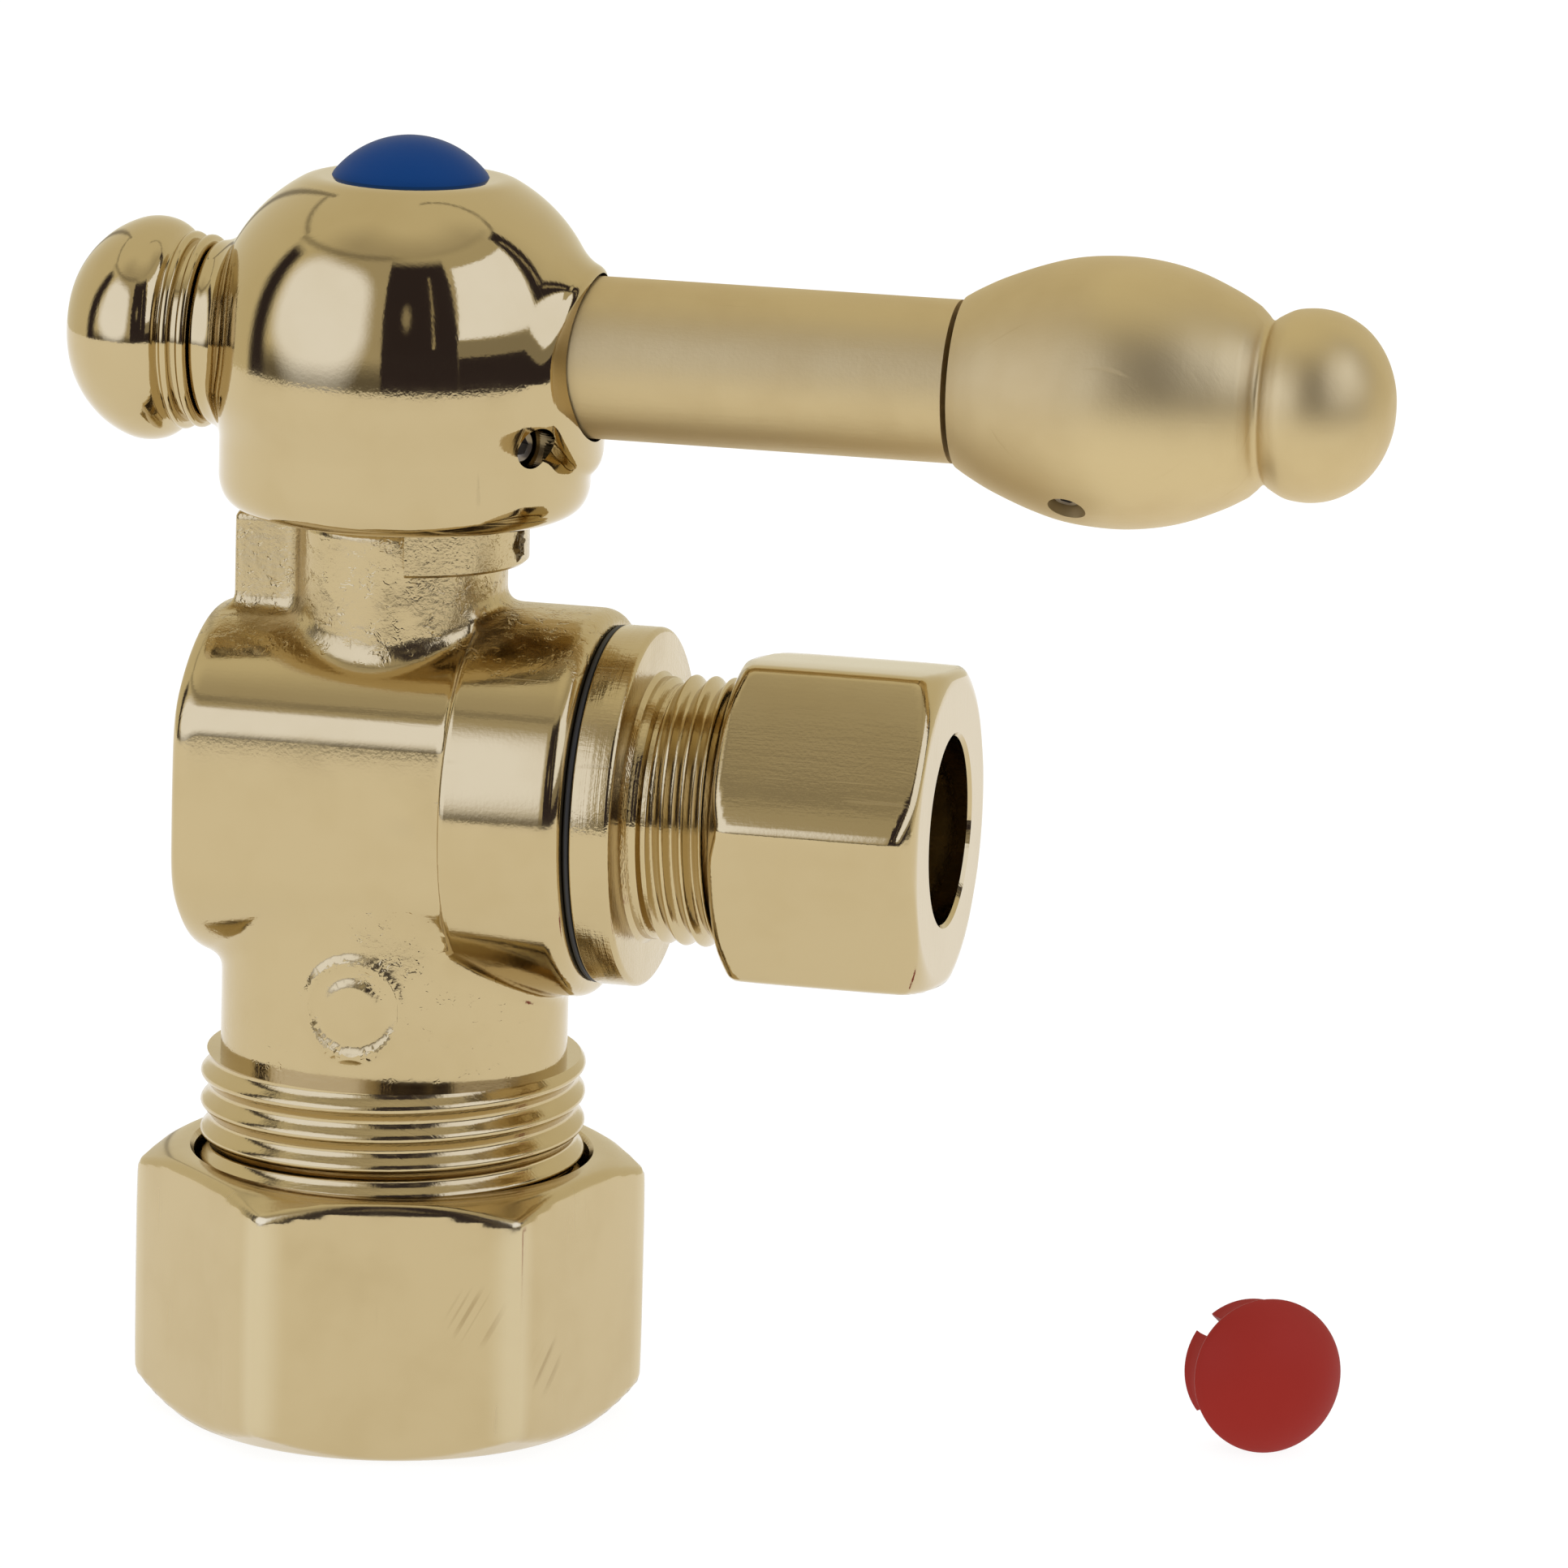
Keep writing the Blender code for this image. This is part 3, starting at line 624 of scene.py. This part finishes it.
ON_BARREL = {"Location": (BARREL_Z * MM, 0, 0), "Rotation": (0, math.radians(-90), 0)}
OUTLET_PITCH = 1.058

flange = [(3.9, 7.7), (3.9, 17.4), (6.4, 17.4), (6.4, 15.5), (6.62, 15.2), (6.62, 14.95), (6.9, 14.75)]
flange += [(6.95, 14.6), (6.95, 14.25), (7.2, 14.02)] + arc(9.2, 13.7, 0.3, 90, 0, 5)
flange += arc(9.38, 11.98, 0.12, 0, -60, 3) + [(9.36, 11.84), (8.05, 11.84), (8.05, 7.7)]
retainer = turn("outlet_end_piece", flange, 144, along_x())
thread = screw_thread("outlet_thread", 6.62, 7.13, OUTLET_PITCH, 15.3, 23.95, along_x())
way = [(0, 25), (4.9, 25), (4.9, 17.0), (3.9, 17.0), (3.9, 14), (0, 14)]
bore(thread, turn("tube_bore", way, 64, along_x()))
turned = brass("outlet_end_brass", 0.08, 0.10, 0.10, 0.7, 2600.0, ON_BARREL)
finish(retainer, turned.mat, "valve", "polished_brass", "outlet_retainer", sharp=30)
threaded = brass("outlet_thread_brass", 0.10, 0.10, 0.05, 0.5, 2600.0, ON_BARREL)
finish(thread, threaded.mat, "valve", "polished_brass", sharp=28)

seal = [(8.6, 11.83)] + arc(9.3, 11.67, 0.16, 70, -70, 8) + [(8.6, 11.51)]
ring = turn("outlet_seal", seal, 128, along_x())


def plain(name, colour, roughness, bump, scale, metallic=0.0, sheen=0.5):
    """Rubber, plastic or steel with a fine grain and slightly uneven colour."""
    mat = bpy.data.materials.new(name)
    mat.use_nodes = True
    tree = mat.node_tree
    body = tree.nodes["Principled BSDF"]
    body.inputs["Metallic"].default_value = metallic
    body.inputs["Specular IOR Level"].default_value = sheen
    at = node(tree, "ShaderNodeTexCoord").outputs["Object"]
    mottle = noise(tree, at, scale * 0.12, 3, 0.6)
    lighter = tuple(min(1.0, c * 1.1 + 0.002) for c in colour)
    tree.links.new(blend(tree, mottle, colour, lighter), body.inputs["Base Color"])
    uneven = sums(tree, "ADD", roughness, sums(tree, "MULTIPLY", mottle, roughness * 0.4))
    tree.links.new(uneven, body.inputs["Roughness"])
    grain = noise(tree, at, scale, 3)
    relief = node(tree, "ShaderNodeBump", {"Strength": bump, "Distance": 0.0001, "Height": grain})
    tree.links.new(relief.outputs[0], body.inputs["Normal"])
    return mat


RUBBER_BLACK = (0.012, 0.011, 0.010)
rubber = plain("seal_rubber", RUBBER_BLACK, 0.45, 0.1, 4000)
finish(ring, rubber, "valve", "rubber", "retainer_o_ring")


# ---------------------------------------------------------------------------------------------
# Ball, seats and stem. The chromed ball turns between two white seats; the brass stem drives it
# through a slot and is sealed by two black rings.

def repaint(name, mat):
    """Give a CAD node another material."""
    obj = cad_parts[name]
    for slot in obj.material_slots:
        slot.material = mat


chrome = plain("ball_chrome", (0.72, 0.73, 0.75), 0.06, 0.01, 3000, metallic=1.0)
repaint("ball", chrome)
seat_white = plain("seat_white", (0.82, 0.82, 0.79), 0.45, 0.05, 2500)
for name in ("outlet_seat", "back_seat", "thrust_washer"):
    repaint(name, seat_white)
black = plain("stem_seal_rubber", RUBBER_BLACK, 0.45, 0.1, 4000)
for name in ("stem_o_ring_lower", "stem_o_ring_upper"):
    repaint(name, black)
repaint("stem", brass("stem_brass", 0.16, 0.1, 0.05, 0.4, 2000.0).mat)


# ---------------------------------------------------------------------------------------------
# Handle hub. A cast and brightly polished dome on a short drum, with a side boss for the lever,
# a small boss for the finial and a three-quarter stop skirt below.

LEVER_Z = 57.7
ON_LEVER = {"Location": (LEVER_Z * MM, 0, 0), "Rotation": (0, math.radians(-90), 0)}
BOSS_Z = 57.1
HUB_FOOT = 48.9
HUB_TOP = 66.62
HUB_RADIUS = 10.55
DRUM_RADIUS = 9.8


def hub_distance(points):
    """Distance in millimetres from the outside of the hub."""
    x, y, z = points.T
    upright = np.hypot(x, y)
    rise = np.maximum(z - 55.9, 0)
    dome = np.hypot(upright, rise * (0.555 + 0.0277 * rise)) - HUB_RADIUS
    lift = np.clip((z - 52.6) / 3.3, 0, 1)
    drum = upright - (DRUM_RADIUS + (HUB_RADIUS - DRUM_RADIUS) * lift * lift * (3 - 2 * lift))
    shape = within(within(dome, drum, 0.3), HUB_FOOT - z, 2.0)
    shape = within(shape, z - HUB_TOP, 0.25)
    boss = within(np.hypot(y, z - BOSS_Z) - 5.2, upright - 10.3, 0.5)
    boss = within(boss, 4 - x, 0.2)
    small = within(np.hypot(y, z - LEVER_Z) - 4.85, -x - 10.65, 0.5)
    small = within(small, x + 4, 0.2)
    return nearer(nearer(shape, boss, 1.5), small, 0.9)


seed = bmesh.new()
rod_shape(seed, 9.7, 49.0, 60.5)
rod_shape(seed, 8.4, 60.0, 63.6)
rod_shape(seed, 6.4, 63.0, 66.0)
rod_shape(seed, 5.0, 4, 10.2, along_x(BOSS_Z))
rod_shape(seed, 4.8, -10.6, -4, along_x(LEVER_Z))
hub = cast("hub", seed, hub_distance, 0.2)
recess = [(0, 68), (3.95, 68), (3.95, 62.6), (3.1, 62.6), (3.1, 60.2), (1.7, 60.2), (1.7, 57), (0, 57)]
seat = bmesh.new()
block(seat, (-2.35, -2.35, 47), (2.35, 2.35, 58.2))
screw_way = Matrix.Translation((0, 0, 53.6 * MM)) @ Matrix.Rotation(math.radians(-32), 4, "Z")
screw_way = screw_way @ Matrix.Rotation(math.radians(90), 4, "Y")
bore(
    hub, add_piece("square_seat", seat), turn("button_recess", recess, 96),
    turn("lever_socket", [(0, 13), (4.42, 13), (4.42, 6.7), (0, 6.7)], 96, along_x(LEVER_Z)),
    turn("screw_hole", [(0, 12), (1.1, 12), (1.1, 1.9), (0, 1.9)], 48, screw_way),
    turn("finial_hole", [(0, -6.3), (2.0, -6.3), (2.0, -12.7), (0, -12.7)], 48, along_x(LEVER_Z)),
)
polish(hub, hub_distance)
finish(hub, brass("hub_brass", 0.035, 0.03, 0.012).mat, "handle", "polished_brass", "handle_hub", sharp=0)

rim = [(5.8, 49.3), (6.65, 49.3), (6.65, 46.6), (6.5, 46.45), (5.95, 46.45), (5.8, 46.6)]
skirt = turn("stop_skirt", rim, 128)
notch = bmesh.new()
block(notch, (-9, -9, 45), (1.85, 1.85, 51))
bore(skirt, add_piece("notch", notch))
made = brass("skirt_brass", 0.12, 0.15, 0.1)
roughen(made, 0.14, 0.0002)
finish(skirt, made.mat, "handle", "polished_brass")

# A burr of dark scale that the casting left at the end of the skirt.
bm = bmesh.new()
bmesh.ops.create_icosphere(bm, subdivisions=4, radius=0.62 * MM)
for vert in bm.verts:
    vert.co *= 1 + 0.45 * mathutils.noise.fractal(vert.co * 2600, 0.8, 2.0, 4)
bmesh.ops.scale(bm, vec=(1.0, 0.8, 1.25), verts=bm.verts)
bmesh.ops.translate(bm, vec=(0.0063, -0.0009, 0.0476), verts=bm.verts)
burr = add_piece("skirt_burr", bm)
scale = brass("burr_brass", 0.3, 0.2, 0.1, bright=(0.2, 0.15, 0.08, 1), dull=(0.05, 0.035, 0.02, 1))
finish(burr, scale.mat, "handle", "polished_brass")


# ---------------------------------------------------------------------------------------------
# Screws of the handle. A slotted pan-head screw ties the hub to the stem below the button, and
# two small socket set screws bear on the stem and on the lever rod.

steel = plain("screw_steel", (0.42, 0.40, 0.38), 0.28, 0.1, 3000, metallic=1.0)

head = [(0, 62.1)] + arc(1.5, 60.9, 1.2, 90, 0, 10)
head += [(2.7, 60.5), (1.1, 60.5), (1.1, 53.0), (0.7, 52.5), (0, 52.4)]
pan = turn("handle_screw_slotted", head, 64)
slot = bmesh.new()
block(slot, (-3, -0.35, 61.45), (3, 0.35, 63))
bore(pan, add_piece("slot", slot))
finish(pan, steel, "handle", "steel", "handle_screw")


def set_screw(name, radius, tip, end, place, key, replaced):
    """A socket set screw about its own Z, with a six-sided key hole."""
    shank = [(0, end), (radius - 0.12, end), (radius, end - 0.14), (radius, tip + 0.35)]
    screw = turn(name, shank + [(radius - 0.35, tip), (0, tip)], 48, place)
    hole = bmesh.new()
    rod_shape(hole, key, end - 1.1, end + 1, place, 6)
    bore(screw, add_piece("key_hole", hole))
    return finish(screw, steel, "handle", "steel", replaced)


grip_way = Matrix.Translation((36.4 * MM, 0, LEVER_Z * MM)) @ Matrix.Rotation(math.radians(143), 4, "X")
set_screw("hub_socket_screw", 0.95, 3.1, 8.9, screw_way, 0.55, "hub_set_screw")
set_screw("grip_socket_screw", 0.85, 2.95, 6.3, grip_way, 0.48, "grip_set_screw")


# ---------------------------------------------------------------------------------------------
# Finial. A turned and polished ball end with two small beads, screwed into the hub opposite
# the lever.

def flowing(points, count=8):
    """Points of a smooth curve through the given ones."""
    line = []
    ends = [points[0], *points, points[-1]]
    for index in range(len(points) - 1):
        a, b, c, d = (np.array(p, float) for p in ends[index:index + 4])
        for step in range(count):
            t = step / count
            line.append(tuple(
                b + 0.5 * t * ((c - a) + t * (2 * a - 5 * b + 4 * c - d + t * (3 * (b - c) + d - a)))
            ))
    return line + [tuple(points[-1])]


bead = [(0, -6.6), (1.85, -6.6), (1.85, -10.68), (4.75, -10.68)]
bead += arc(4.8, -10.98, 0.3, 90, -60, 8)
bead += [(4.78, -11.3), (4.78, -11.6)]
bead += arc(4.95, -11.88, 0.28, 70, -60, 8)
bead += [(5.12, -12.2)]
bead += flowing([
    (5.2, -12.25), (5.5, -12.5), (5.78, -13.0), (5.92, -13.7), (5.85, -14.5), (5.5, -15.4),
    (4.95, -16.25), (4.1, -17.1), (3.0, -17.78), (1.6, -18.18), (0, -18.3),
], 6)
knob = turn("finial_ball", bead, 128, along_x(LEVER_Z))
turned = brass("finial_brass", 0.05, 0.04, 0.02, 0.25, 2200.0, ON_LEVER)
finish(knob, turned.mat, "handle", "polished_brass", "finial", sharp=40)


# ---------------------------------------------------------------------------------------------
# Lever. A straight rod pressed and pinned into the hub, with a turned grip on its end. Both are
# left with a finer satin than the rest.

SATIN = (0.635, 0.50, 0.265, 1)
SATIN_DULL = (0.59, 0.45, 0.225, 1)

shaft = [(0, 7.0), (4.1, 7.0), (4.25, 7.15), (4.25, 29.6), (2.7, 29.6), (2.7, 39.7), (2.4, 40.0), (0, 40.0)]
rod = turn("lever_shaft", shaft, 144, along_x(LEVER_Z))
satin = brass("rod_brass", 0.52, 0.06, 0.08, 0.25, 1500.0, ON_LEVER, SATIN, SATIN_DULL)
finish(rod, satin.mat, "handle", "satin_brass", "lever_rod")

swell = flowing([
    (0, 52.5), (1.5, 52.32), (2.9, 51.75), (4.0, 50.85), (4.7, 49.7), (4.98, 48.5), (4.9, 47.3), (4.6, 46.6),
], 6)
swell += flowing([(4.42, 46.3), (4.24, 46.05), (4.3, 45.8), (4.62, 45.5), (4.95, 45.15)], 5)
swell += flowing([
    (5.05, 45.0), (5.65, 43.9), (6.4, 42.1), (6.85, 40.3), (7.03, 38.3), (6.87, 36.0), (6.4, 34.1),
    (5.6, 32.0), (4.95, 30.7), (4.5, 29.95),
], 8)
swell += [(3.0, 29.95), (3.0, 40.3), (0, 40.3)]
grip = turn("lever_swell", swell, 144, along_x(LEVER_Z))
bore(grip, turn("grip_hole", [(0, 9), (1.0, 9), (1.0, 2.0), (0, 2.0)], 48, grip_way))
satin = brass("grip_brass", 0.43, 0.05, 0.05, 0.25, 1500.0, ON_LEVER, SATIN, SATIN_DULL)
tree = satin.tree
out = node(tree, "ShaderNodeSeparateXYZ", {0: satin.at}).outputs[0]
inner_half = ramp(tree, out, 0.0385, 0.0365, 0.0, 0.09)
rougher = sums(tree, "ADD", satin.surface.outputs["Roughness"], inner_half)
tree.links.new(rougher, satin.metal.inputs["Roughness"])
finish(grip, satin.mat, "handle", "satin_brass", "lever_grip")


# ---------------------------------------------------------------------------------------------
# Index buttons. Moulded plastic, domed above, with four spring prongs below. The blue one is
# pressed into the hub; the red spare lies on its edge beside the valve.

BUTTON_RADIUS = 4.15
BUTTON_CROWN = 2.1


def index_button(name, place, mat, body_name, slot_name, replaced):
    """One button about its own Z."""
    curve = (BUTTON_RADIUS**2 + BUTTON_CROWN**2) / (2 * BUTTON_CROWN)
    edge = math.degrees(math.acos(BUTTON_RADIUS / curve))
    profile = arc(0, BUTTON_CROWN - curve, curve, 90, edge + 2, 20)
    profile += [(BUTTON_RADIUS, -0.08), (4.12, -0.24), (4.02, -0.3), (3.6, -0.3), (3.58, -2.5)]
    profile += [(3.72, -2.75), (3.72, -2.85), (3.5, -3.1), (2.95, -3.1), (2.9, -3.0), (2.9, -0.4), (0, -0.4)]
    piece = turn(name, profile, 96, place)
    cuts = bmesh.new()
    for quarter in (45, 135):
        block(cuts, (-5, -0.6, -4), (5, 0.6, -0.7), place @ Matrix.Rotation(math.radians(quarter), 4, "Z"))
    bore(piece, add_piece("slots", cuts))
    return finish(piece, mat, body_name, slot_name, replaced)


blue = plain("blue_plastic", (0.001, 0.038, 0.165), 0.34, 0.02, 1800, sheen=0.06)
red = plain("red_plastic", (0.275, 0.020, 0.014), 0.42, 0.03, 1800, sheen=0.06)
pressed = Matrix.Translation((0, 0, 66.65 * MM))
index_button("blue_button", pressed, blue, "index_button", "blue_plastic", "index_button")
lying = Matrix.Rotation(math.radians(31), 4, "Z") @ Matrix.Rotation(math.radians(84), 4, "X")
lying = Matrix.Translation((46.9 * MM, 6.5 * MM, 4.16 * MM)) @ lying
index_button("red_button", lying, red, "spare_button", "red_plastic", "spare_index_button")


# ---------------------------------------------------------------------------------------------
# Compression nuts. Milled from hexagonal brass bar, chamfered at both ends and polished. Each
# squeezes a soft brass sleeve onto its tube.

def nut_distance(points, flats, low, high, facing, chamfers):
    """Distance from a hexagon about its own Z, with buffed flats and turned chamfers."""
    x, y, z = points.T
    shape = within(low - z, z - high, 0.3)
    reach = np.hypot(x, y)
    for radius, height, out, up in chamfers:
        length = math.hypot(out, up)
        shape = within(shape, ((reach - radius) * out + (z - height) * up) / length, 0.3)
    for turned in (0, 60, 120):
        face = math.radians(facing + turned)
        across = np.abs(x * math.cos(face) + y * math.sin(face))
        aside = (y * math.cos(face) - x * math.sin(face)) / (flats * 0.289)
        ends = (z - (low + high) / 2) / ((high - low) / 2)
        crown = flats * (0.009 * aside**4 + 0.004 * ends**4)
        shape = within(shape, across - flats / 2 + crown, 0.35)
    return shape


INLET_NUT = {"flats": 24.15, "low": 0.0, "high": 14.3, "facing": 45.35}
OUTLET_NUT = {"flats": 16.85, "low": 18.9, "high": 30.0, "facing": -6.5}


def inlet_nut_distance(points):
    """Distance from the outside of the inlet nut."""
    ends = ((11.75, 14.3, 1.05, 1.85), (11.3, 0.0, 1.5, -2.3))
    return nut_distance(points, chamfers=ends, **INLET_NUT)


def outlet_nut_distance(points):
    """Distance from the outside of the outlet nut, which lies along the barrel."""
    own = np.column_stack((BARREL_Z - points[:, 2], points[:, 1], points[:, 0]))
    ends = ((8.3, 30.0, 0.8, 1.12), (8.3, 18.9, 0.8, -1.12))
    return nut_distance(own, chamfers=ends, **OUTLET_NUT)


seed = bmesh.new()
bmesh.ops.create_cone(
    seed, cap_ends=True, segments=6, radius1=13.2 * MM, radius2=13.2 * MM, depth=14.1 * MM,
    matrix=Matrix.Translation((0, 0, 7.15 * MM)) @ Matrix.Rotation(math.radians(15.35 - 90), 4, "Z"),
)
nut = cast("inlet_hex_nut", seed, inlet_nut_distance, 0.26)
inside = [(0, -1), (8.4, -1), (8.4, 0), (8.15, 0.25), (8.15, 3.9), (10.6, 3.9)]
inside += [(10.6, 14.05), (10.8, 14.3), (10.8, 15.5), (0, 15.5)]
bore(nut, turn("inside", inside, 160))
polish(nut, inlet_nut_distance)

# Scratches from a wrench on two flats, and brighter brass along the corners, partly wear and partly a painted
# highlight.
made = brass("inlet_nut_brass", 0.13, 0.08, 0.03)
tree = made.tree
slant = node(tree, "ShaderNodeVectorMath", {0: made.at, 1: (0.83, 0.28, -0.48)}, operation="DOT_PRODUCT")
slant = node(tree, "ShaderNodeCombineXYZ", {0: slant.outputs["Value"]}).outputs[0]
lines = ramp(tree, noise(tree, slant, 2600, 1, 0.4), 0.50, 0.60)
marks = 0.0
for spot in ((0.0077, -0.0102, 0.0082), (0.0105, -0.0069, 0.0050)):
    marks = sums(tree, "ADD", marks, ramp(tree, from_spot(made, spot), 0.0019, 0.0006))
marks = sums(tree, "MULTIPLY", marks, lines)
worn = blend(tree, sums(tree, "MULTIPLY", marks, 0.45), made.surface.outputs["Colour"], (0.30, 0.21, 0.09))
# Painted highlight along the hexagon's corners, mixed with the corners' wear.
edges = sums(tree, "MULTIPLY", ramp(tree, from_axis(tree, made.at), 0.01305, 0.0136), 0.6)
worn = blend(tree, edges, worn, (0.66, 0.56, 0.36))
tree.links.new(worn, made.metal.inputs["Base Color"])
finish(nut, made.mat, "inlet_nut", "polished_brass", "inlet_nut", sharp=0)

seed = bmesh.new()
bmesh.ops.create_cone(
    seed, cap_ends=True, segments=6, radius1=9.0 * MM, radius2=9.0 * MM, depth=10.9 * MM,
    matrix=along_x() @ Matrix.Translation((0, 0, 24.45 * MM)) @ Matrix.Rotation(math.radians(53.5), 4, "Z"),
)
nut = cast("outlet_hex_nut", seed, outlet_nut_distance, 0.18)
inside = [(0, 31), (5.15, 31), (5.15, 30.0), (4.98, 29.8), (4.98, 27.0), (7.4, 27.0)]
inside += [(7.4, 19.0), (7.5, 18.9), (7.5, 18), (0, 18)]
bore(nut, turn("inside", inside, 128, along_x()))
polish(nut, outlet_nut_distance)
made = brass("outlet_nut_brass", 0.07, 0.06, 0.03)
finish(nut, made.mat, "outlet_nut", "polished_brass", "outlet_nut", sharp=0)

soft_brass = brass("sleeve_brass", 0.25, 0.1, 0.1, 0.4, 1800.0).mat
for name in ("inlet_ferrule", "outlet_ferrule"):
    repaint(name, soft_brass)
